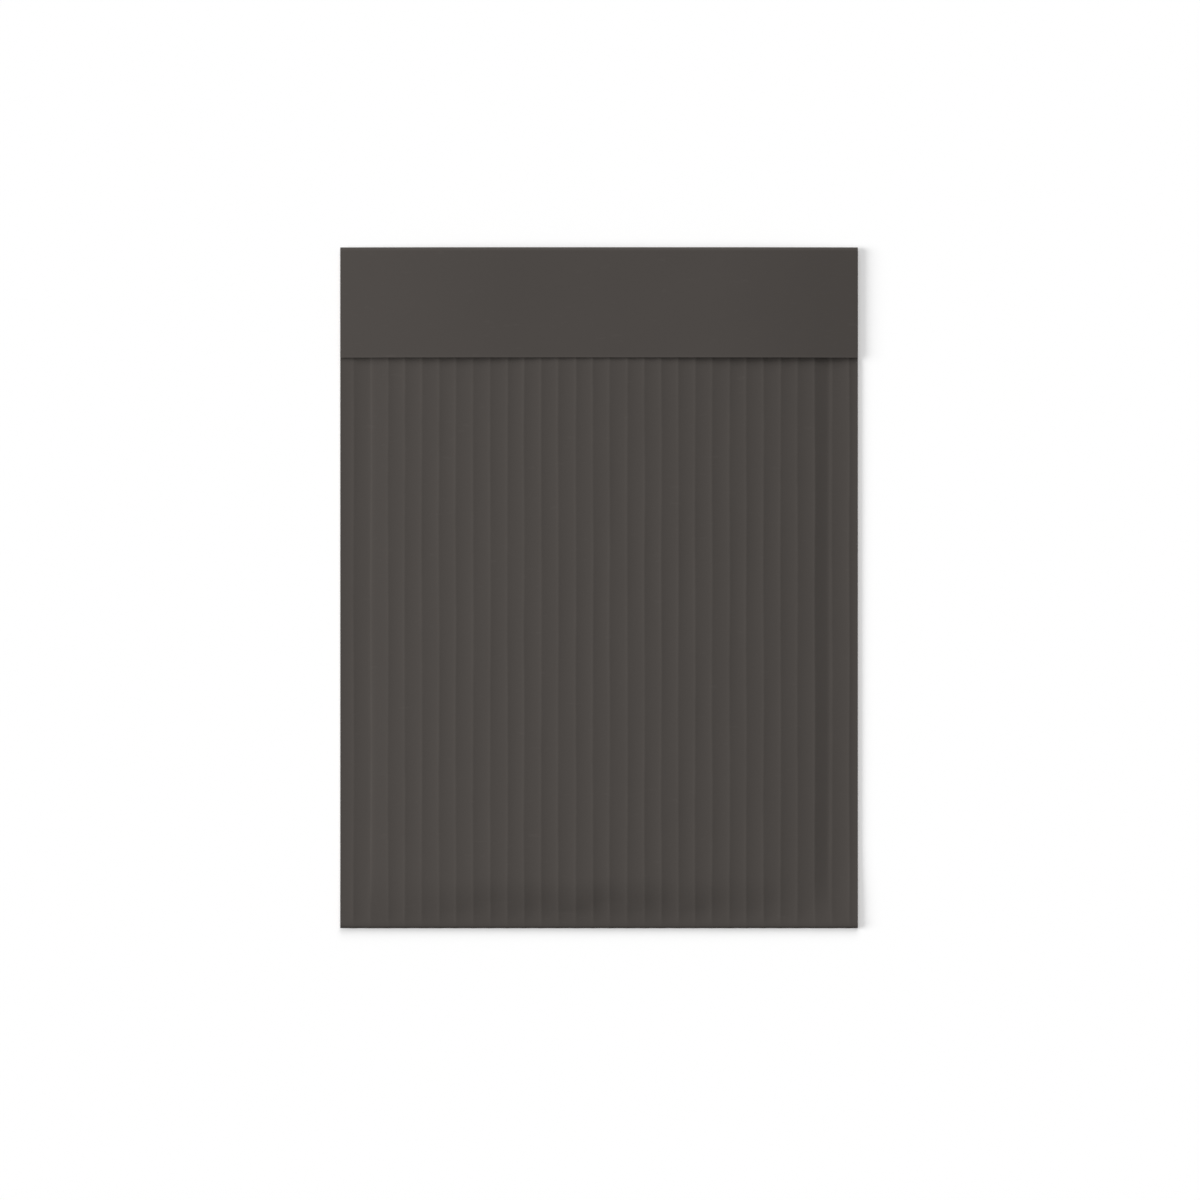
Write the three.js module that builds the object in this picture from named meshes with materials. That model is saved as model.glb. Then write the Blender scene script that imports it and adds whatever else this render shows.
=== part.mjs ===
// A padded paper envelope that lies on its back, empty, with its flap folded over the mouth.
// One outer sheet is folded into flap, back and front. A fluted lining, folded at the bottom
// with it, pads both walls, and the two are pressed flat along the side seams and the bottom.
// Millimetres: X across, Y from the bottom fold to the flap's fold, Z up from the surface below.
// The origin is the middle of the footprint, on that surface.

import * as THREE from "three";

// Outside size with the flap closed
const WIDTH = 241.3;
const HEIGHT = 317.5;
const FLAP_LENGTH = 51.3;

// Layers
const SHEET = 0.35; // outer paper
const MEDIUM = 0.25; // fluted paper
const GLUE = 0.1; // film between two layers
const ADHESIVE = 0.2; // sealing strip under the flap
const RELEASE = 0.2; // peel-off tape that covers the sealing strip

// Flutes, which run from the bottom to the mouth
const PITCH = 7.95;
const LAND = 1; // width glued to the outer sheet at each crest
const RIB_SAG = 0.2; // dip of the outer sheet between two crests
const RIB_CLEARANCE = 0.12; // room under that dip where the flutes are crushed
const FULL_WAVE = 1.15; // rise of a flute that is not crushed

// Pocket
const SIDE_SEAM = 13.5;
const BOTTOM_SEAM = 11.2;
const SEAM_RISE = 0.4; // share of the front's rise that lies in the bottom seam
const BOTTOM_SLOPE = 15; // run over which the rest of it lies, above the seam
const POCKET_GAP = 3.8; // space between the two linings at the middle
const CROWN_POWER = 2; // 2 is a round crown, more is flatter in the middle
const MOUTH_SETBACK = 4; // from the flap's fold down to the edge of the mouth

// Folds and strips
const FLAP_LEVEL = 47; // half the width over which the flap stays level
const FLAP_BEND = 48; // run on each side over which it bends down, to go straight from there
const FOLD_RADIUS = 1.5; // outside radius of both corners of the flap's fold
const RIB_FADE = 1.2; // run over which ribs and flutes fade out at a fold
const STRIP_INSET = 14; // from the flap's edge up to the sealing strip
const STRIP_WIDTH = 14;
const STRIP_END = 5; // from the side of the envelope to the strip's end
const RELEASE_MARGIN = 3; // how far the tape reaches past the strip along the flap

// Fineness of the curved stretches
const DIP_STEPS = 3; // straight pieces in the dip between two crests
const SLOPE_BREAK = 0.4; // share of the bottom slope where its first straight piece ends
const CORNER_STEPS = 3;
const FOLD_STEPS = 4;
const LEAST_STEP = 0.3; // no column lies closer than this to the side edge
const ROUNDING = 1e-6; // columns that differ by less are one column

// Levels and lines that follow from the sizes above
const SIDE = WIDTH / 2;
const TOP = HEIGHT / 2;
const CRUSHED_WAVE = RIB_SAG + RIB_CLEARANCE;
const SEAM_GAP = GLUE;
const WALL = SHEET + GLUE + MEDIUM;
const SEAM_STACK = 2 * (WALL + CRUSHED_WAVE) + SEAM_GAP;
const FLAP_GAP = ADHESIVE + RELEASE + 3 * GLUE;
const MOUTH = TOP - MOUTH_SETBACK;
const FLAP_EDGE = TOP - FLAP_LENGTH;
const FOLD_FACE = TOP - FOLD_RADIUS;
const BOTTOM_RADIUS = SEAM_STACK / 2;
const BOTTOM_LINE = -TOP + BOTTOM_RADIUS;
const RIB_START = BOTTOM_LINE + RIB_FADE;
const POCKET_FOOT = -TOP + BOTTOM_SEAM;

// Crests stand in pairs about the middle, and the pocket starts at the crest nearest the seam.
const RIDGES = 2 * Math.floor(SIDE / PITCH);
const ridges = Array.from({ length: RIDGES }, (_, i) => (i - (RIDGES - 1) / 2) * PITCH);
const seamRidge = (Math.round((SIDE - SIDE_SEAM) / PITCH - 0.5) + 0.5) * PITCH;
const shoulderFoot = seamRidge - LAND / 2;
const shoulderTop = seamRidge - PITCH + LAND / 2;

const clamp = (value) => Math.min(1, Math.max(0, value));
const easeOut = (share) => 1 - (1 - clamp(share)) ** 2;

function fromCrest(x) {
  const cell = x / PITCH - 0.5;
  return Math.abs(cell - Math.round(cell)) * PITCH;
}

// 0 on a crest and 1 midway between two crests: the paper hangs in a shallow arc.
function ribDip(x) {
  return easeOut((fromCrest(x) - LAND / 2) / ((PITCH - LAND) / 2));
}

// 0 on a crest and 1 in the trough of a flute, with straight flanks.
function fluteDip(x) {
  return clamp((fromCrest(x) - LAND / 2) / (PITCH / 2 - LAND));
}

// The front's rise from the bottom fold, from 0 to 1
function rise(y) {
  const inSeam = clamp((y - RIB_START) / (POCKET_FOOT - RIB_START));
  return SEAM_RISE * inSeam + (1 - SEAM_RISE) * easeOut((y - POCKET_FOOT) / BOTTOM_SLOPE);
}

// Height of a flute: crushed in the seams, recovered inside the shoulders.
function fluteWave(x, y) {
  const across = clamp((shoulderFoot - Math.abs(x)) / (shoulderFoot - shoulderTop));
  return CRUSHED_WAVE + (FULL_WAVE - CRUSHED_WAVE) * across * rise(y);
}

// Space between the front lining and the back lining
function pocket(x, y) {
  const across = 1 - clamp(Math.abs(x) / shoulderTop) ** CROWN_POWER;
  return SEAM_GAP + (POCKET_GAP - SEAM_GAP) * across * rise(y);
}

// Height of the front panel's crests
function frontCrest(x, y) {
  return 2 * (WALL + fluteWave(x, y)) + pocket(x, y);
}

// Where the flap stands beside its level middle: first bent down, then straight
function flapRun(x) {
  const beyond = Math.max(0, Math.abs(x) - FLAP_LEVEL);
  return beyond < FLAP_BEND ? beyond ** 2 / (2 * FLAP_BEND) : beyond - FLAP_BEND / 2;
}

// What the stiff flap spans, as an upper hull: it is nowhere under the crests of the front panel.
const middle = frontCrest(0, MOUTH);
const flapFall = (middle - frontCrest(SIDE, MOUTH)) / flapRun(SIDE);
const flapSupports = [];
for (const x of [-SIDE, ...ridges, SIDE]) {
  const next = [x, Math.max(frontCrest(x, MOUTH), middle - flapFall * flapRun(x))];
  while (flapSupports.length > 1) {
    const [a, b] = flapSupports.slice(-2);
    if ((b[0] - a[0]) * (next[1] - a[1]) < (b[1] - a[1]) * (next[0] - a[0])) break;
    flapSupports.pop();
  }
  flapSupports.push(next);
}

function spanHeight(x) {
  const right = Math.max(1, flapSupports.findIndex((point) => point[0] >= x - ROUNDING));
  const [a, b] = flapSupports.slice(right - 1, right + 1);
  return a[1] + ((b[1] - a[1]) * (x - a[0])) / (b[0] - a[0]);
}

// Columns across the sheet: both edges, and the points that offsets give around each crest.
function columns(offsets) {
  const crests = [ridges[0] - PITCH, ...ridges, ridges[RIDGES - 1] + PITCH];
  const inner = crests.flatMap((crest) => offsets.map((offset) => crest + offset));
  const kept = inner.filter((x, i) => {
    return Math.abs(x) < SIDE - LEAST_STEP && (i === 0 || x - inner[i - 1] > ROUNDING);
  });
  return [-SIDE, ...kept, SIDE];
}

const dipOffsets = Array.from({ length: DIP_STEPS - 1 }, (_, i) => {
  return LAND / 2 + ((PITCH - LAND) * (i + 1)) / DIP_STEPS;
});
const ribColumns = columns([-LAND / 2, LAND / 2, ...dipOffsets]);
const fluteColumns = columns([-LAND / 2, LAND / 2, (PITCH - LAND) / 2, (PITCH + LAND) / 2]);
const plainColumns = columns([0]);

// A row is a line across a sheet: its columns, and where its outer and inner faces lie in YZ.
function row(xs, outer, inner) {
  return { xs, outer: xs.map((x) => [x, ...outer(x)]), inner: xs.map((x) => [x, ...inner(x)]) };
}

// Triangles between two rows that may have different columns
function stitch(first, second, triangles) {
  let [i, j] = [0, 0];
  while (i < first.length - 1 || j < second.length - 1) {
    const advanceFirst =
      j === second.length - 1 ||
      (i < first.length - 1 && first[i + 1].x <= second[j + 1].x + ROUNDING);
    if (advanceFirst) {
      triangles.push([first[i].id, first[i + 1].id, second[j].id]);
      i += 1;
    } else {
      triangles.push([first[i].id, second[j + 1].id, second[j].id]);
      j += 1;
    }
  }
}

// A closed thin sheet, from the rows that it runs through
function sheetGeometry(rows) {
  const positions = [];
  const register = (points) =>
    points.map((point) => {
      positions.push(...point);
      return { x: point[0], id: positions.length / 3 - 1 };
    });
  const outer = rows.map((line) => register(line.outer));
  const inner = rows.map((line) => register(line.inner));
  const faces = [];
  const backward = [];
  for (let k = 0; k < rows.length - 1; k += 1) {
    stitch(outer[k], outer[k + 1], faces);
    stitch(inner[k], inner[k + 1], backward);
    const sides = [
      [outer[k][0], outer[k + 1][0], inner[k][0], inner[k + 1][0]],
      [outer[k].at(-1), outer[k + 1].at(-1), inner[k].at(-1), inner[k + 1].at(-1)],
    ];
    sides.forEach(([oa, ob, ia, ib], right) => {
      (right ? backward : faces).push([oa.id, ob.id, ia.id], [ob.id, ib.id, ia.id]);
    });
  }
  [0, rows.length - 1].forEach((k, last) => {
    for (let i = 0; i < rows[k].xs.length - 1; i += 1) {
      const [oa, ob, ia, ib] = [outer[k][i], outer[k][i + 1], inner[k][i], inner[k][i + 1]];
      (last ? backward : faces).push([oa.id, ia.id, ob.id], [ob.id, ia.id, ib.id]);
    }
  });
  backward.forEach(([a, b, c]) => faces.push([a, c, b]));
  const geometry = new THREE.BufferGeometry();
  geometry.setAttribute("position", new THREE.Float32BufferAttribute(positions, 3));
  geometry.setIndex(faces.flat());
  geometry.computeVertexNormals();
  return geometry;
}

// Rows round the bottom fold, from the back to the front, of a sheet between two radii
function bottomFoldRows(outerRadius, innerRadius) {
  return Array.from({ length: FOLD_STEPS + 1 }, (_, i) => {
    const angle = (Math.PI * i) / FOLD_STEPS;
    const at = (radius) => () => [
      BOTTOM_LINE - radius * Math.sin(angle),
      BOTTOM_RADIUS - radius * Math.cos(angle),
    ];
    return row(plainColumns, at(outerRadius), at(innerRadius));
  });
}

// Rows round the flap's fold, from the flap down to the back, with two rounded corners
function flapFoldRows() {
  const rows = [];
  const arc = (corner, step) => {
    const angle = (Math.PI / 2) * (step / CORNER_STEPS);
    const at = (radius) => (x) => {
      const centre = corner === 0 ? flapOuter(x) - FOLD_RADIUS : FOLD_RADIUS;
      return corner === 0
        ? [FOLD_FACE + radius * Math.sin(angle), centre + radius * Math.cos(angle)]
        : [FOLD_FACE + radius * Math.cos(angle), centre - radius * Math.sin(angle)];
    };
    return row(plainColumns, at(FOLD_RADIUS), at(FOLD_RADIUS - SHEET));
  };
  for (const corner of [0, 1]) {
    for (let step = 0; step <= CORNER_STEPS; step += 1) rows.push(arc(corner, step));
  }
  return rows;
}

function flapOuter(x) {
  return spanHeight(x) + FLAP_GAP + SHEET;
}

function flapRow(y) {
  return row(plainColumns, (x) => [y, flapOuter(x)], (x) => [y, flapOuter(x) - SHEET]);
}

function backRow(y, xs, sag) {
  const dip = (x) => sag * ribDip(x);
  return row(xs, (x) => [y, dip(x)], (x) => [y, dip(x) + SHEET]);
}

function frontRow(y) {
  const face = (x) => frontCrest(x, y) - RIB_SAG * ribDip(x);
  return row(ribColumns, (x) => [y, face(x)], (x) => [y, face(x) - SHEET]);
}

function backFluteRow(y) {
  const near = (x) => SHEET + GLUE + fluteWave(x, y) * fluteDip(x);
  return row(fluteColumns, (x) => [y, near(x)], (x) => [y, near(x) + MEDIUM]);
}

function frontFluteRow(y) {
  const near = (x) => frontCrest(x, y) - SHEET - GLUE - fluteWave(x, y) * fluteDip(x);
  return row(fluteColumns, (x) => [y, near(x)], (x) => [y, near(x) - MEDIUM]);
}

// Lines where both walls change their slope, from the bottom fold to the mouth
const slopeLines = [0, SLOPE_BREAK, 1].map((share) => POCKET_FOOT + share * BOTTOM_SLOPE);
const wallLines = [RIB_START, ...slopeLines, MOUTH];

const outerSheet = sheetGeometry([
  flapRow(FLAP_EDGE),
  ...flapFoldRows(),
  backRow(MOUTH + RIB_FADE, plainColumns, 0),
  backRow(MOUTH, ribColumns, RIB_SAG),
  backRow(RIB_START, ribColumns, RIB_SAG),
  ...bottomFoldRows(BOTTOM_RADIUS, BOTTOM_RADIUS - SHEET),
  ...wallLines.map(frontRow),
]);

const lining = sheetGeometry([
  ...wallLines.toReversed().map(backFluteRow),
  ...bottomFoldRows(BOTTOM_RADIUS - SHEET - GLUE, BOTTOM_RADIUS - WALL),
  ...wallLines.map(frontFluteRow),
]);

// A strip along the flap, its height counted down from the flap's inner face
function stripGeometry(inset, width, drop, thickness) {
  const reach = SIDE - STRIP_END;
  const xs = [-reach, ...plainColumns.filter((x) => Math.abs(x) < reach - LEAST_STEP), reach];
  const top = (x) => spanHeight(x) + FLAP_GAP - drop;
  const line = (y) => row(xs, (x) => [y, top(x)], (x) => [y, top(x) - thickness]);
  return sheetGeometry([line(FLAP_EDGE + inset), line(FLAP_EDGE + inset + width)]);
}

const sealingStrip = stripGeometry(STRIP_INSET, STRIP_WIDTH, GLUE, ADHESIVE);
const releaseTape = stripGeometry(
  STRIP_INSET - RELEASE_MARGIN,
  STRIP_WIDTH + 2 * RELEASE_MARGIN,
  2 * GLUE + ADHESIVE,
  RELEASE,
);

function paper(name, geometry, colour, roughness) {
  const material = new THREE.MeshStandardMaterial({ color: colour, roughness, metalness: 0 });
  const mesh = new THREE.Mesh(geometry, material);
  mesh.name = name;
  return mesh;
}

const envelope = new THREE.Group();
envelope.name = "padded_envelope";
envelope.add(paper("outer_sheet", outerSheet, 0x4c4845, 0.85));
envelope.add(paper("fluted_lining", lining, 0x9c7d5c, 0.9));
envelope.add(paper("sealing_strip", sealingStrip, 0xd9d4c4, 0.35));
envelope.add(paper("release_tape", releaseTape, 0xe9e6de, 0.5));

export default envelope;
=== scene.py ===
"""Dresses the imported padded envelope: finer paper sheets, procedural papers, camera and studio.

Lengths are in metres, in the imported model's frame: X across, Y from the bottom fold to the flap's
fold, Z up from the floor. Each sheet is a grid of rows, which follow the paper from one cut edge
to the other, and of columns across it. In the functions, u is a column's place across the envelope
before the flutes sway, y is a row's place, and web is its distance along the paper from the bottom
fold.
"""

import math
import random

import bpy
import numpy as np
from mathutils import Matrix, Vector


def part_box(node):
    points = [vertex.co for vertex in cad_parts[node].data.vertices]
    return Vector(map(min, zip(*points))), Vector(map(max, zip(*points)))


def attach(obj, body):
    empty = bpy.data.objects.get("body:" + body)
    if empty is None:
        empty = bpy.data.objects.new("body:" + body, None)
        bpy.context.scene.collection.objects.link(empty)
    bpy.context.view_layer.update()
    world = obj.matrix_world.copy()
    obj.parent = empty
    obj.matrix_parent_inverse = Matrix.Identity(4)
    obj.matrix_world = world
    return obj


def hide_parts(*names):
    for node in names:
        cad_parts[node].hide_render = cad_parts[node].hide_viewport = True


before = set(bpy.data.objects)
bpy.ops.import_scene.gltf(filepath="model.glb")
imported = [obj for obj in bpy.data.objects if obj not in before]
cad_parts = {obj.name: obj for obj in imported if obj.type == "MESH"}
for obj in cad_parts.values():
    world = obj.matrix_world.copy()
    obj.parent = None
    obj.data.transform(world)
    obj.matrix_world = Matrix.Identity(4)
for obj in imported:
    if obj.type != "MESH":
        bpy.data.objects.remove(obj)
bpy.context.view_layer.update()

MM = 0.001

# Outside size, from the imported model
_, outer_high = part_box("outer_sheet")
SIDE = outer_high.x
TOP = outer_high.y

# Layers. Glue is a gap between outer paper and lining, a film is one on either side of the
# adhesive, and the play is the gap under the tape.
SHEET = 0.35 * MM
MEDIUM = 0.25 * MM
GLUE = 0.1 * MM
ADHESIVE = 0.12 * MM
RELEASE = 0.1 * MM
FILM = 0.04 * MM
PLAY = 0.1 * MM

# Flutes. A land is the flat of a crest. The waves are the flutes' heights over the pocket, in the
# side seams, at the cut sides and at the bottom fold, whose own height fades over its reach.
PITCH = 7.95 * MM
LAND = 1 * MM
FULL_WAVE = 1.12 * MM
SEAM_WAVE = 0.46 * MM
EDGE_WAVE = 0.31 * MM
FOLD_WAVE = 0.8 * MM
FOLD_REACH = 40 * MM

# Ribs that the flutes print through the outer paper. A crest is rounded to its width on either
# side, with a fine nub in the middle. The dips are taut, so less deep, beside the side seams, and
# they run out to a share of their depth at the bottom fold.
RIB_DEPTH = 0.225 * MM
CREST_WIDTH = 0.6 * MM
NUB_WIDTH = 0.55 * MM
NUB_SHARE = 0.12
TAUT_SHARE = 0.45
FOLD_RIB_SHARE = 0.25
FOLD_RIB_RUN = 4 * MM

# Pocket. Its front rises by a share in the bottom seam and by the rest up a slope, whose foot is
# rounded and wanders in waves, given by length and phase. The left shoulder steps up from a crease,
# and the right one starts late. The linings stand the pocket gap apart in the middle of the mouth,
# and towards the bottom that falls to the crown foot's share of it.
SIDE_SEAM = 13.5 * MM
BOTTOM_SEAM = 10.3 * MM
BOTTOM_SLOPE = 14.2 * MM
SEAM_RISE = 0.3
SEAM_CURVE = 1.25
FOOT_ROUNDING = 0.12
FOOT_WANDER = 0.45 * MM
FOOT_WAVES = ((62 * MM, 0), (27 * MM, 1))
SEAM_GAP = GLUE
RIGHT_FOOT = 0.2
LEFT_STEP = 0.24
LEFT_CREASE = 0.1
CROWN_FOOT = 0.9
POCKET_GAP = 3.8 * MM
MOUTH_INSET = 4 * MM

# Flap. It is level in the middle, then bends, then slopes straight down to its sides. The burr
# turns its cut edge up. Its own swell and the back's ribs fade out beside the fold.
FLAP_LENGTH = 51.45 * MM
FLAP_SLOPE = 0.11
LEFT_LEVEL = 41 * MM
LEFT_BEND = 60 * MM
RIGHT_LEVEL = 53 * MM
RIGHT_BEND = 50 * MM
FOLD_RADIUS = 1.5 * MM
FOLD_FADE = 6 * MM
EDGE_BURR = 0.09 * MM
BURR_RUN = 0.6 * MM

# Adhesive strip, inset from the flap's edge, and the tape, wider by a margin on either side
STRIP_INSET = 14 * MM
STRIP_WIDTH = 14 * MM
STRIP_END = 5 * MM
RELEASE_MARGIN = 3 * MM

# Drift, sway and uneven depth of the ribs, and swell of the paper. A pair of lengths is a range.
# The front's swell is full from the onset on, which is a share of the pocket's opening.
RIB_SEED = 11
FRONT_SEED = 3
FLAP_SEED = 5
RIB_DRIFT = 0.95 * MM
RIB_STRETCH = 0.002
SHIFT_LIMIT = 0.2 * MM
SWAY_LIMIT = 0.12 * MM
SWAY_LENGTHS = (90 * MM, 190 * MM)
DEPTH_SPREAD = 0.16
SWELL_HEIGHT = 0.018 * MM
SWELL_LENGTHS = (28 * MM, 80 * MM)
SWELL_WAVES = 9
SWELL_ONSET = 0.25

# Columns beside each crest of the flutes. None stands nearer to a side than the margin, and places
# that agree to so many digits are one.
OUTER_OFFSETS = [*(offset * MM for offset in (0, 0.3, 0.6, 0.95, 1.5, 2.6)), PITCH / 2]
LINING_OFFSETS = [*(offset * MM for offset in (0, 0.5, 1, 1.7, 2.5)), (PITCH - LAND) / 2, PITCH / 2]
EDGE_MARGIN = 0.33 * MM
PLACE_DIGITS = 7

# Rows: lines beside the flap's edge and fold, and largest steps elsewhere. A pair is a coarse and
# a fine step, and a turn is the step round a fold. Edges that turn by more than the sharp angle
# stay sharp.
EDGE_LINES = [line * MM for line in (0, 0.3, 0.7, 1.3, 2.2, 4)]
FOLD_LINES = [line * MM for line in (4, 1.5, 0.4)]
FLAP_STEP = 7 * MM
BEND_STEP = 1 * MM
BACK_STEP = 12 * MM
SEAM_STEP = 4 * MM
FRONT_STEPS = (8 * MM, 1.6 * MM)
LINING_STEPS = (14 * MM, 2.5 * MM)
STRIP_STEP = 2 * MM
FLAP_FOLD_TURN = math.pi / 12
BOTTOM_FOLD_TURN = math.pi / 8
SHARP_DEGREES = 40

# Wear of the outer paper: how much each place is rubbed, from 0 to 1
CREST_RUB_WIDTH = 0.7 * MM
FLAP_FOLD_RUB = 0.6
BOTTOM_FOLD_RUB = 0.5

# Noises of the materials: features a metre, levels of detail, and the stretch along each axis
CLOUDS = (70, 5)
FIBRES = (900, 3, (1, 0.16, 1))
CROSS_FIBRES = (1100, 3, (0.2, 1, 1))
PALE_FIBRES = (420, 2, (0.3, 1, 1))
TOOTH = (2600, 4)
BEADS = (700, 2, (0.05, 1, 1))
BAND_PATCHES = (300, 3)
COATED_CLOUDS = (120, 4)
COATED_PATCHES = (500, 2)
COATED_TOOTH = (1500, 3)
NOISE_ROUGHNESS = 0.55

# Ranges of those noises. Most of one noise lies in the first, and the mottle is a sum of three.
NOISE_RANGE = (0.3, 0.7)
MOTTLE_RANGE = (1.15, 1.85)
PALE_RANGE = (0.66, 0.74)

# Looks of the materials
PALE_SHARE = 0.5
WORN_SHARES = (0.1, 0.5)
KRAFT_ROUGHNESS_SPREAD = 0.05
KRAFT_SPECULAR = 0.2
KRAFT_BUMP_STRENGTH = 0.35
BAND_ROUGHNESS = (0.25, 0.45)
BAND_BUMP = 0.05 * MM
BAND_BUMP_STRENGTH = 0.6
COATED_ROUGHNESS = (0.38, 0.48)
COATED_BUMP = 0.01 * MM

# Sockets of a mix node for colours. They go by number, as its other kinds share their names.
MIX_SHARE = 0
MIX_FIRST = 6
MIX_SECOND = 7
MIX_RESULT = 2

# Camera: it looks straight down from far off. The photograph's sizes are in its own pixels, and
# the sensor's width is in millimetres.
PHOTO_FRAME = 1200
PHOTO_OUTLINE_WIDTH = 517.7
PHOTO_CENTRE_X = 599.05
PHOTO_CENTRE_Y = 587.85
CAMERA_HEIGHT = 4.5
SENSOR = 36
CLIP_END = 20

# Studio: a broad lamp at the left and one at the top. A lamp's lean is its distance to the side
# over its height, and its share is how much of the light on a level sheet comes from it. Its
# spread and azimuth are in degrees. Lights and shadows show on the floor by its share, the rest
# of its white is glow, and the bounce is how much light it throws back at the envelope.
LEFT_LEAN = 1.6
LEFT_SHARE = 0.51
LEFT_SPREAD = 37
LEFT_AZIMUTH = 178
TOP_LEAN = 1.2
TOP_SHARE = 0.37
TOP_SPREAD = 44
TOP_AZIMUTH = 90
AMBIENT = 0.12
WHITE = (1, 1, 1, 1)
FLOOR_SIZE = 8
FLOOR_DROP = 0.02 * MM
FLOOR_SHARE = 0.68
FLOOR_GLOW = 1 - FLOOR_SHARE
FLOOR_BOUNCE = 0.8

# Lines that follow from the sizes above. The crests stand at odd halves of the pitch.
WALL = SHEET + GLUE + MEDIUM
FLAP_GAP = 2 * FILM + ADHESIVE + RELEASE + PLAY
FLAP_EDGE = TOP - FLAP_LENGTH
MOUTH = TOP - MOUTH_INSET
RIDGE_COUNT = 2 * math.floor(SIDE / PITCH)
RIDGES = (np.arange(RIDGE_COUNT) - (RIDGE_COUNT - 1) / 2) * PITCH
SEAM_RIDGE = (round((SIDE - SIDE_SEAM) / PITCH - 0.5) + 0.5) * PITCH
POCKET_SIDE = SEAM_RIDGE - PITCH
FOLD_STACK = 2 * (WALL + FOLD_WAVE) + SEAM_GAP
BOTTOM_RADIUS = FOLD_STACK / 2
BOTTOM_LINE = -TOP + BOTTOM_RADIUS
POCKET_FOOT = -TOP + BOTTOM_SEAM
FOLD_FACE = TOP - FOLD_RADIUS


def unit(value):
    return np.clip(value, 0, 1)


def ease_out(share):
    return 1 - (1 - unit(share)) ** 2


def smooth(share):
    return unit(share) ** 2 * (3 - 2 * unit(share))


def from_crest(u):
    """Distance from the nearest crest."""
    cell = u / PITCH - 0.5
    return np.abs(cell - np.round(cell)) * PITCH


def rib_dip(u):
    """0 on a crest and 1 midway: a hanging arc, a rounded crest and a nub over the flute's tip."""
    half = PITCH / 2
    distance = from_crest(u)
    crest = distance**2 / (CREST_WIDTH * half)
    arc = (1 - (1 - distance / half) ** 2 - CREST_WIDTH / half) / (1 - CREST_WIDTH / half)
    nub = 1 - np.exp(-((distance / NUB_WIDTH) ** 2))
    return (1 - NUB_SHARE) * np.where(distance < CREST_WIDTH, crest, arc) + NUB_SHARE * nub


def flute_dip(u):
    """0 on a crest and 1 in the trough of a flute."""
    return smooth((from_crest(u) - LAND / 2) / (PITCH / 2 - LAND))


def shoulder(u):
    """0 in the side seams and 1 over the pocket: bulging on the left and hanging on the right."""
    share = unit((SEAM_RIDGE - np.abs(u)) / PITCH)
    hanging = unit((share - RIGHT_FOOT) / (1 - RIGHT_FOOT))
    bulging = (1 - LEFT_STEP) * share + LEFT_STEP * (1 - np.exp(-share / LEFT_CREASE))
    return np.where(u < 0, bulging, hanging)


def rise(u, y):
    """The front's rise from the bottom fold, from 0 to 1: slow in the seam, then faster."""
    wander = sum(np.sin(2 * math.pi * u / length + phase) for length, phase in FOOT_WAVES)
    in_seam = unit((y - BOTTOM_LINE) / (POCKET_FOOT - BOTTOM_LINE))
    above = (y - POCKET_FOOT - FOOT_WANDER * wander) / BOTTOM_SLOPE
    rounded = (above + np.hypot(above, FOOT_ROUNDING)) / 2
    return SEAM_RISE * in_seam**SEAM_CURVE + (1 - SEAM_RISE) * ease_out(rounded)


def rib_share(y):
    """How much of the ribs' depth is left near the bottom fold."""
    return FOLD_RIB_SHARE + (1 - FOLD_RIB_SHARE) * smooth((y - BOTTOM_LINE) / FOLD_RIB_RUN)


def flute_wave(u, y):
    """Height of the flutes: most over the pocket, then at the bottom fold, least at the sides."""
    inward = smooth((SIDE - np.abs(u)) / (SIDE - SEAM_RIDGE))
    pressed = EDGE_WAVE + (SEAM_WAVE - EDGE_WAVE) * inward
    pressed = FOLD_WAVE + (pressed - FOLD_WAVE) * smooth((y - BOTTOM_LINE) / FOLD_REACH)
    return pressed + (FULL_WAVE - pressed) * shoulder(u) * rise(u, y)


def crown(u, y):
    """How far the pocket is open, from 0 at its borders to 1 in the middle of its mouth."""
    across = 1 - unit(np.abs(u) / POCKET_SIDE) ** 2
    along = CROWN_FOOT + (1 - CROWN_FOOT) * unit((y - POCKET_FOOT) / (MOUTH - POCKET_FOOT))
    return across * along * rise(u, y)


def front_crest(u, y):
    """Height of the front panel's crests."""
    open_share = crown(u, y)
    pocket = SEAM_GAP + (POCKET_GAP - SEAM_GAP) * open_share
    swell = front_swell(u, y) * unit(open_share / SWELL_ONSET)
    return 2 * (WALL + flute_wave(u, y)) + pocket + swell


def make_swell(seed):
    """A gentle unevenness of paper: seeded waves in all directions, each SWELL_HEIGHT high."""
    draw = random.Random(seed)
    waves = []
    for _ in range(SWELL_WAVES):
        angle = draw.uniform(0, math.pi)
        number = 2 * math.pi / draw.uniform(*SWELL_LENGTHS)
        phase = draw.uniform(0, 2 * math.pi)
        waves.append((number * math.cos(angle), number * math.sin(angle), phase))

    def swell(u, y):
        total = sum(np.sin(along_x * u + along_y * y + phase) for along_x, along_y, phase in waves)
        return SWELL_HEIGHT * total

    return swell


def make_flute_draws():
    """For each ridge a shift and a slow sway along the web. For each dip a wave of its depth."""
    draw = random.Random(RIB_SEED)

    def draw_wave():
        return draw.uniform(*SWAY_LENGTHS), draw.uniform(0, 2 * math.pi)

    shifts = [draw.uniform(-SHIFT_LIMIT, SHIFT_LIMIT) for _ in range(RIDGE_COUNT)]
    sways = [draw_wave() for _ in range(RIDGE_COUNT)]
    dips = [draw_wave() for _ in range(RIDGE_COUNT + 1)]
    return shifts, sways, dips


front_swell = make_swell(FRONT_SEED)
flap_swell = make_swell(FLAP_SEED)
flute_shifts, flute_sways, dip_waves = make_flute_draws()


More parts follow.
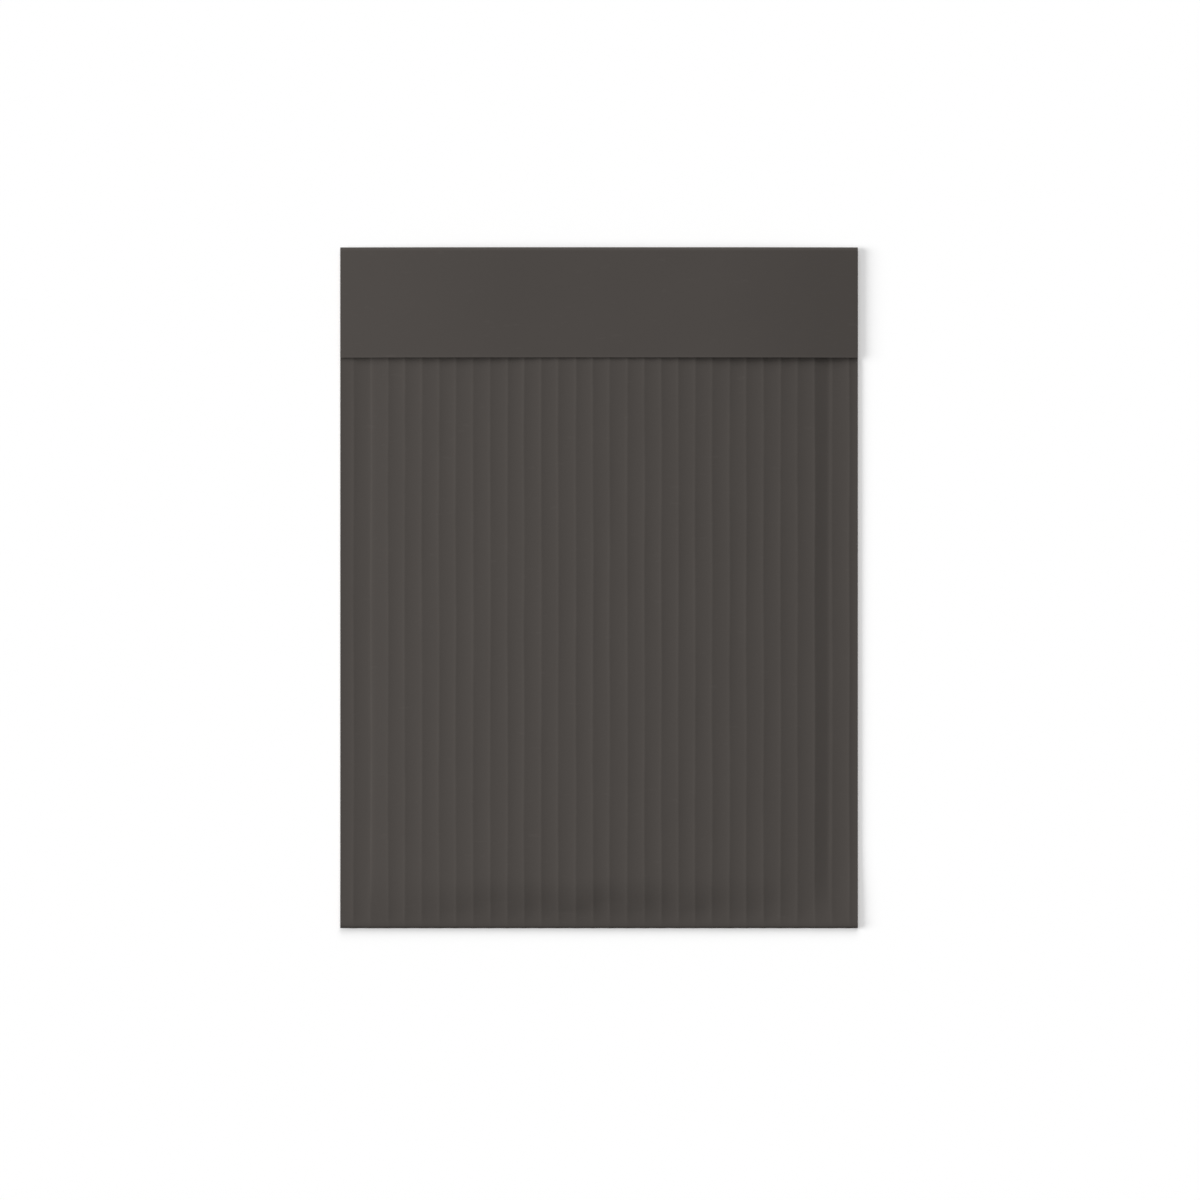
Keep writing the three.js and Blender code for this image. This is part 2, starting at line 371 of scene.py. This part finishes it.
def flute_x(u, web):
    """Where the columns stand at a distance along the web from the bottom fold."""
    moved = []
    for ridge, shift, (length, phase) in zip(RIDGES, flute_shifts, flute_sways):
        sway = SWAY_LIMIT * math.sin(2 * math.pi * web / length + phase)
        moved.append(RIB_DRIFT + RIB_STRETCH * ridge + shift + sway)
    return u + np.interp(u, [-SIDE, *RIDGES, SIDE], [0, *moved, 0])


def rib_depth(u, web):
    """Depth of the dips at a distance along the web: no two dips are quite alike."""
    waves = [math.sin(2 * math.pi * web / length + phase) for length, phase in dip_waves]
    cell = np.clip(np.floor(u / PITCH - 0.5) + RIDGE_COUNT // 2, 0, RIDGE_COUNT).astype(int)
    share = 1 + DEPTH_SPREAD * np.array(waves)[cell]
    taut = (np.abs(u) < SEAM_RIDGE) & (np.abs(u) > POCKET_SIDE)
    return RIB_DEPTH * share * np.where(taut, TAUT_SHARE, 1)


def flap_run(u):
    """How far past its level middle the flap slopes: first bent, then straight."""
    level = np.where(u < 0, LEFT_LEVEL, RIGHT_LEVEL)
    bend = np.where(u < 0, LEFT_BEND, RIGHT_BEND)
    beyond = np.maximum(0, np.abs(u) - level)
    return np.where(beyond < bend, beyond**2 / (2 * bend), beyond - bend / 2)


def flap_under(u, y):
    """Height of the flap's inner face."""
    middle = float(front_crest(np.array(0.0), MOUTH))
    burr = EDGE_BURR * np.exp(-(y - FLAP_EDGE) / BURR_RUN)
    swell = flap_swell(u, y) * smooth((FOLD_FACE - y) / FOLD_FADE)
    return middle - FLAP_SLOPE * flap_run(u) + FLAP_GAP + burr + swell


def columns_around(offsets):
    """Both sides, and the places that the offsets give on both sides of each crest."""
    both_sides = {*offsets, *(-offset for offset in offsets)}
    crests = [RIDGES[0] - PITCH, *RIDGES, RIDGES[-1] + PITCH]
    places = {round(crest + offset, PLACE_DIGITS) for crest in crests for offset in both_sides}
    inner = [place for place in sorted(places) if abs(place) < SIDE - EDGE_MARGIN]
    return np.array([-SIDE, *inner, SIDE])


def points(x, y, z):
    """One row of points. A place that is the same for the whole row may be one number."""
    return np.stack(np.broadcast_arrays(x, y, z), axis=-1)


def flap_row(u, y):
    under = flap_under(u, y)
    return points(u, y, under + SHEET), points(u, y, under)


def flap_fold_row(u, angle):
    """A row of the flap's fold, from 0 at the flap to pi at the back."""
    top = flap_under(u, FOLD_FACE) + SHEET
    sides = []
    for inset in (0, SHEET):
        y = FOLD_FACE + (FOLD_RADIUS - inset) * math.sin(angle)
        z = top / 2 + (top / 2 - inset) * math.cos(angle)
        sides.append(points(u, y, z))
    return tuple(sides)


def back_row(u, y):
    web = -(y + TOP)
    fade = smooth((FOLD_FACE - y) / FOLD_FADE)
    x = flute_x(u, web) * fade + u * (1 - fade)
    z = rib_depth(u, web) * rib_dip(u) * fade * rib_share(y)
    return points(x, y, z), points(x, y, z + SHEET)


def bottom_fold_row(u, angle, sink, near, thickness):
    """A row round the bottom fold, from 0 at the back to pi at the front, sunk towards its axis."""
    x = flute_x(u, BOTTOM_RADIUS * (angle - math.pi / 2))
    sides = []
    for inset in (near, near + thickness):
        radius = BOTTOM_RADIUS - inset - sink
        y = BOTTOM_LINE - radius * math.sin(angle)
        z = BOTTOM_RADIUS - radius * math.cos(angle)
        sides.append(points(x, y, z))
    return tuple(sides)


def outer_fold_row(u, angle):
    web = BOTTOM_RADIUS * (angle - math.pi / 2)
    return bottom_fold_row(u, angle, FOLD_RIB_SHARE * rib_depth(u, web) * rib_dip(u), 0, SHEET)


def lining_fold_row(u, angle):
    return bottom_fold_row(u, angle, FOLD_WAVE * flute_dip(u), SHEET + GLUE, MEDIUM)


def front_row(u, y):
    web = y + TOP
    z = front_crest(u, y) - rib_depth(u, web) * rib_dip(u) * rib_share(y)
    x = flute_x(u, web)
    return points(x, y, z), points(x, y, z - SHEET)


def back_flute_row(u, y):
    near = SHEET + GLUE + flute_wave(u, y) * flute_dip(u)
    x = flute_x(u, -(y + TOP))
    return points(x, y, near), points(x, y, near + MEDIUM)


def front_flute_row(u, y):
    near = front_crest(u, y) - SHEET - GLUE - flute_wave(u, y) * flute_dip(u)
    x = flute_x(u, y + TOP)
    return points(x, y, near), points(x, y, near - MEDIUM)


def spaced(start, end, step):
    """Places from start to end, both included, at most step apart."""
    return np.linspace(start, end, max(2, math.ceil(abs(end - start) / step) + 1))


def lines_up(coarse, fine):
    """Rows up a wall from the bottom fold: fine through the bottom seam and slope, coarse above."""
    slope_end = POCKET_FOOT + BOTTOM_SLOPE
    seam = spaced(BOTTOM_LINE, POCKET_FOOT, fine)
    slope = spaced(POCKET_FOOT, slope_end, fine)
    wall = spaced(slope_end, MOUTH, coarse)
    return [*seam[1:], *slope[1:], *wall[1:]]


def sheet_object(name, rows, rubbed=None):
    """A closed thin sheet from its rows. Each row is a line of points on either face."""
    outer = np.stack([row[0] for row in rows])
    inner = np.stack([row[1] for row in rows])
    count, width = outer.shape[:2]
    top = np.arange(count * width).reshape(count, width)
    low = top + count * width

    def quads(a, b, c, d):
        return np.stack([a, b, c, d], axis=-1).reshape(-1, 4)

    faces = np.concatenate(
        [
            quads(top[:-1, :-1], top[:-1, 1:], top[1:, 1:], top[1:, :-1]),
            quads(low[:-1, :-1], low[1:, :-1], low[1:, 1:], low[:-1, 1:]),
            quads(top[0, :-1], low[0, :-1], low[0, 1:], top[0, 1:]),
            quads(top[-1, 1:], low[-1, 1:], low[-1, :-1], top[-1, :-1]),
            quads(top[1:, 0], low[1:, 0], low[:-1, 0], top[:-1, 0]),
            quads(top[:-1, -1], low[:-1, -1], low[1:, -1], top[1:, -1]),
        ]
    )
    mesh = bpy.data.meshes.new(name)
    corners = np.concatenate([outer.reshape(-1, 3), inner.reshape(-1, 3)])
    mesh.from_pydata(corners.tolist(), [], faces.tolist())
    mesh.polygons.foreach_set("use_smooth", [True] * len(mesh.polygons))
    mesh.set_sharp_from_angle(angle=math.radians(SHARP_DEGREES))
    if rubbed is not None:
        attribute = mesh.attributes.new("rubbed", "FLOAT", "POINT")
        values = np.concatenate([rubbed.reshape(-1), np.zeros(count * width)])
        attribute.data.foreach_set("value", values.astype(np.float32))
    piece = bpy.data.objects.new(name, mesh)
    bpy.context.scene.collection.objects.link(piece)
    return piece


def dress(piece, material, node):
    """Gives a piece its paper, and puts it in the place of its solid."""
    piece.data.materials.append(material)
    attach(piece, "root")
    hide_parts(node)


def build_outer_paper():
    u = columns_around(OUTER_OFFSETS)
    crest_rub = np.exp(-((from_crest(u) / CREST_RUB_WIDTH) ** 2))
    rows = []
    rubbed = []

    def add(row, rub):
        rows.append(row)
        rubbed.append(np.broadcast_to(rub, u.shape))

    near_edge = [FLAP_EDGE + line for line in EDGE_LINES]
    near_fold = [FOLD_FACE - line for line in FOLD_LINES]
    for y in [*near_edge, *spaced(near_edge[-1], near_fold[0], FLAP_STEP)[1:-1], *near_fold]:
        add(flap_row(u, y), 0)
    for angle in spaced(0, math.pi, FLAP_FOLD_TURN):
        add(flap_fold_row(u, angle), FLAP_FOLD_RUB * math.sin(angle))
    under_fold = spaced(FOLD_FACE, MOUTH, BEND_STEP)
    down_back = spaced(MOUTH, POCKET_FOOT, BACK_STEP)
    through_seam = spaced(POCKET_FOOT, BOTTOM_LINE, SEAM_STEP)
    for y in [*under_fold[1:], *down_back[1:], *through_seam[1:-1]]:
        add(back_row(u, y), 0)
    for angle in spaced(0, math.pi, BOTTOM_FOLD_TURN):
        add(outer_fold_row(u, angle), BOTTOM_FOLD_RUB * np.maximum(math.sin(angle), crest_rub))
    for y in lines_up(*FRONT_STEPS):
        add(front_row(u, y), crest_rub)
    return sheet_object("outer_paper", rows, np.stack(rubbed))


def build_lining():
    u = columns_around(LINING_OFFSETS)
    lines = lines_up(*LINING_STEPS)
    rows = [back_flute_row(u, y) for y in reversed(lines)]
    rows += [lining_fold_row(u, angle) for angle in spaced(0, math.pi, BOTTOM_FOLD_TURN)]
    rows += [front_flute_row(u, y) for y in lines]
    return sheet_object("fluted_paper", rows)


def build_strip(name, inset, width, drop, thickness):
    """A strip under the flap, its height counted down from the flap's inner face."""
    reach = SIDE - STRIP_END
    u = spaced(-reach, reach, STRIP_STEP)
    rows = []
    for y in spaced(FLAP_EDGE + inset, FLAP_EDGE + inset + width, STRIP_STEP):
        top = flap_under(u, y) - drop
        rows.append((points(u, y, top), points(u, y, top - thickness)))
    return sheet_object(name, rows)


def srgb(red, green, blue):
    """A colour given as on a screen, from 0 to 255, as linear light, by the sRGB formula."""

    def linear(value):
        value = value / 255
        return value / 12.92 if value <= 0.04045 else ((value + 0.055) / 1.055) ** 2.4

    return (linear(red), linear(green), linear(blue), 1.0)


def feed(tree, socket, value):
    """Joins another node's output to a socket, or sets the socket to a plain value."""
    if isinstance(value, bpy.types.NodeSocket):
        tree.links.new(value, socket)
    else:
        socket.default_value = value


class Nodes:
    """A small helper that adds nodes to a material and joins them."""

    def __init__(self, name):
        self.material = bpy.data.materials.new(name)
        self.material.use_nodes = True
        self.tree = self.material.node_tree
        self.shader = self.tree.nodes["Principled BSDF"]
        self.place = self.add("ShaderNodeTexCoord").outputs["Object"]

    def add(self, kind, inputs=(), **settings):
        node = self.tree.nodes.new(kind)
        for key, value in settings.items():
            setattr(node, key, value)
        for key, value in dict(inputs).items():
            feed(self.tree, node.inputs[key], value)
        return node

    def shade(self, key, value):
        """Sets an input of the material's own shader."""
        feed(self.tree, self.shader.inputs[key], value)

    def noise(self, scale, detail, stretch=(1, 1, 1)):
        """Noise with about scale features a metre, longer along the axes whose stretch is small."""
        mapped = self.add("ShaderNodeMapping", {"Vector": self.place, "Scale": stretch})
        inputs = {
            "Vector": mapped.outputs[0],
            "Scale": scale,
            "Detail": detail,
            "Roughness": NOISE_ROUGHNESS,
        }
        return self.add("ShaderNodeTexNoise", inputs).outputs["Fac"]

    def spread(self, value, low, high, source=NOISE_RANGE):
        """Maps a noise from its own range to the range low to high."""
        inputs = {
            "Value": value,
            "From Min": source[0],
            "From Max": source[1],
            "To Min": low,
            "To Max": high,
        }
        return self.add("ShaderNodeMapRange", inputs).outputs["Result"]

    def combine(self, operation, first, second):
        return self.add("ShaderNodeMath", {0: first, 1: second}, operation=operation).outputs[0]

    def tint(self, share, first, second):
        """Mixes two colours."""
        inputs = {MIX_SHARE: share, MIX_FIRST: first, MIX_SECOND: second}
        return self.add("ShaderNodeMix", inputs, data_type="RGBA").outputs[MIX_RESULT]

    def bump(self, height, distance, strength=1):
        inputs = {"Height": height, "Distance": distance, "Strength": strength}
        self.shade("Normal", self.add("ShaderNodeBump", inputs).outputs[0])


def kraft_paper(name, base, light, fibre_light, roughness, bump, rubbed_colour=None):
    """Matte kraft paper: cloudy formation, crossing fibres, a few pale ones, and a fine tooth."""
    nodes = Nodes(name)
    clouds = nodes.noise(*CLOUDS)
    along = nodes.noise(*FIBRES)
    across = nodes.noise(*CROSS_FIBRES)
    tooth = nodes.noise(*TOOTH)
    crossing = nodes.combine("ADD", along, across)
    mottle = nodes.spread(nodes.combine("ADD", clouds, crossing), 0, 1, MOTTLE_RANGE)
    colour = nodes.tint(mottle, base, light)
    pale = nodes.spread(nodes.noise(*PALE_FIBRES), 0, PALE_SHARE, PALE_RANGE)
    colour = nodes.tint(pale, colour, fibre_light)
    if rubbed_colour:
        rub = nodes.add("ShaderNodeAttribute", attribute_name="rubbed").outputs["Fac"]
        worn = nodes.combine("MULTIPLY", rub, nodes.spread(clouds, *WORN_SHARES))
        colour = nodes.tint(worn, colour, rubbed_colour)
    nodes.shade("Base Color", colour)
    smoothest = roughness - KRAFT_ROUGHNESS_SPREAD
    roughest = roughness + KRAFT_ROUGHNESS_SPREAD
    nodes.shade("Roughness", nodes.spread(mottle, smoothest, roughest, (0, 1)))
    nodes.shade("Specular IOR Level", KRAFT_SPECULAR)
    nodes.bump(nodes.combine("ADD", crossing, tooth), bump, KRAFT_BUMP_STRENGTH)
    return nodes.material


def adhesive_band(name):
    """Pale hot-melt adhesive, laid in fine beads along the flap."""
    nodes = Nodes(name)
    beads = nodes.noise(*BEADS)
    between = srgb(206, 200, 178)
    bead = srgb(226, 221, 203)
    nodes.shade("Base Color", nodes.tint(nodes.spread(beads, 0, 1), between, bead))
    nodes.shade("Roughness", nodes.spread(nodes.noise(*BAND_PATCHES), *BAND_ROUGHNESS))
    nodes.bump(beads, BAND_BUMP, BAND_BUMP_STRENGTH)
    return nodes.material


def release_paper(name):
    """Smooth coated paper with a faint cloudy formation."""
    nodes = Nodes(name)
    clouds = nodes.noise(*COATED_CLOUDS)
    between = srgb(231, 228, 219)
    cloud = srgb(239, 237, 230)
    nodes.shade("Base Color", nodes.tint(nodes.spread(clouds, 0, 1), between, cloud))
    nodes.shade("Roughness", nodes.spread(nodes.noise(*COATED_PATCHES), *COATED_ROUGHNESS))
    nodes.bump(nodes.noise(*COATED_TOOTH), COATED_BUMP)
    return nodes.material


def build_envelope():
    dark = kraft_paper(
        "dark_kraft",
        base=srgb(71, 66.6, 63.4),
        light=srgb(72.5, 68.1, 64.9),
        fibre_light=srgb(75.5, 71, 67.8),
        roughness=0.86,
        bump=0.03 * MM,
        rubbed_colour=srgb(79, 74.5, 71),
    )
    brown = kraft_paper(
        "natural_kraft",
        base=srgb(148, 116, 82),
        light=srgb(168, 134, 98),
        fibre_light=srgb(190, 160, 124),
        roughness=0.88,
        bump=0.06 * MM,
    )
    dress(build_outer_paper(), dark, "outer_sheet")
    dress(build_lining(), brown, "fluted_lining")
    strip = build_strip("adhesive_strip", STRIP_INSET, STRIP_WIDTH, FILM, ADHESIVE)
    dress(strip, adhesive_band("hot_melt"), "sealing_strip")
    tape = build_strip(
        "peel_off_tape",
        STRIP_INSET - RELEASE_MARGIN,
        STRIP_WIDTH + 2 * RELEASE_MARGIN,
        2 * FILM + ADHESIVE,
        RELEASE,
    )
    dress(tape, release_paper("coated_paper"), "release_tape")


def make_camera():
    pixel = 2 * SIDE / PHOTO_OUTLINE_WIDTH
    data = bpy.data.cameras.new("camera")
    data.sensor_width = SENSOR
    data.lens = SENSOR * CAMERA_HEIGHT / (PHOTO_FRAME * pixel)
    data.clip_end = CLIP_END
    camera = bpy.data.objects.new("camera", data)
    camera.location.x = (PHOTO_FRAME / 2 - PHOTO_CENTRE_X) * pixel
    camera.location.y = -(PHOTO_FRAME / 2 - PHOTO_CENTRE_Y) * pixel
    # The outline in the photograph is seen about as high up as the bottom fold is thick
    camera.location.z = CAMERA_HEIGHT + FOLD_STACK
    bpy.context.scene.collection.objects.link(camera)
    bpy.context.scene.camera = camera


def make_lamp(name, lean, azimuth, share, spread):
    zenith = math.atan(lean)
    data = bpy.data.lights.new(name, "SUN")
    data.energy = math.pi * share / math.cos(zenith)
    data.angle = math.radians(spread)
    lamp = bpy.data.objects.new(name, data)
    lamp.rotation_euler = (0, zenith, math.radians(azimuth))
    bpy.context.scene.collection.objects.link(lamp)


def make_world():
    world = bpy.data.worlds.new("studio")
    bpy.context.scene.world = world
    world.use_nodes = True
    tree = world.node_tree
    background = tree.nodes["Background"]
    background.inputs["Color"].default_value = WHITE
    seen = tree.nodes.new("ShaderNodeLightPath").outputs["Is Camera Ray"]
    strength = tree.nodes.new("ShaderNodeMapRange")
    tree.links.new(seen, strength.inputs["Value"])
    strength.inputs["To Min"].default_value = AMBIENT
    strength.inputs["To Max"].default_value = 1
    tree.links.new(strength.outputs["Result"], background.inputs["Strength"])


def make_floor():
    """A white floor. What the camera sees of it is part glow, so that its shadows stay pale."""
    mesh = bpy.data.meshes.new("floor")
    half = FLOOR_SIZE / 2
    corners = [(-half, -half, 0), (half, -half, 0), (half, half, 0), (-half, half, 0)]
    mesh.from_pydata(corners, [], [(0, 1, 2, 3)])
    floor = bpy.data.objects.new("floor", mesh)
    floor.location.z = -FLOOR_DROP
    bpy.context.scene.collection.objects.link(floor)
    material = bpy.data.materials.new("white_floor")
    material.use_nodes = True
    tree = material.node_tree
    tree.nodes.clear()

    def add(kind, **inputs):
        node = tree.nodes.new(kind)
        for key, value in inputs.items():
            node.inputs[key].default_value = value
        return node

    shown = add("ShaderNodeBsdfDiffuse", Color=(FLOOR_SHARE, FLOOR_SHARE, FLOOR_SHARE, 1))
    glow = add("ShaderNodeEmission", Strength=FLOOR_GLOW)
    bounce = add("ShaderNodeBsdfDiffuse", Color=(FLOOR_BOUNCE, FLOOR_BOUNCE, FLOOR_BOUNCE, 1))
    seen = add("ShaderNodeAddShader")
    chosen = add("ShaderNodeMixShader")
    rays = add("ShaderNodeLightPath")
    output = add("ShaderNodeOutputMaterial")
    tree.links.new(shown.outputs[0], seen.inputs[0])
    tree.links.new(glow.outputs[0], seen.inputs[1])
    tree.links.new(rays.outputs["Is Camera Ray"], chosen.inputs[0])
    tree.links.new(bounce.outputs[0], chosen.inputs[1])
    tree.links.new(seen.outputs[0], chosen.inputs[2])
    tree.links.new(chosen.outputs[0], output.inputs["Surface"])
    mesh.materials.append(material)


make_camera()
make_lamp("left_lamp", LEFT_LEAN, LEFT_AZIMUTH, LEFT_SHARE, LEFT_SPREAD)
make_lamp("top_lamp", TOP_LEAN, TOP_AZIMUTH, TOP_SHARE, TOP_SPREAD)
make_world()
make_floor()
build_envelope()
bpy.context.scene.view_settings.view_transform = "Standard"
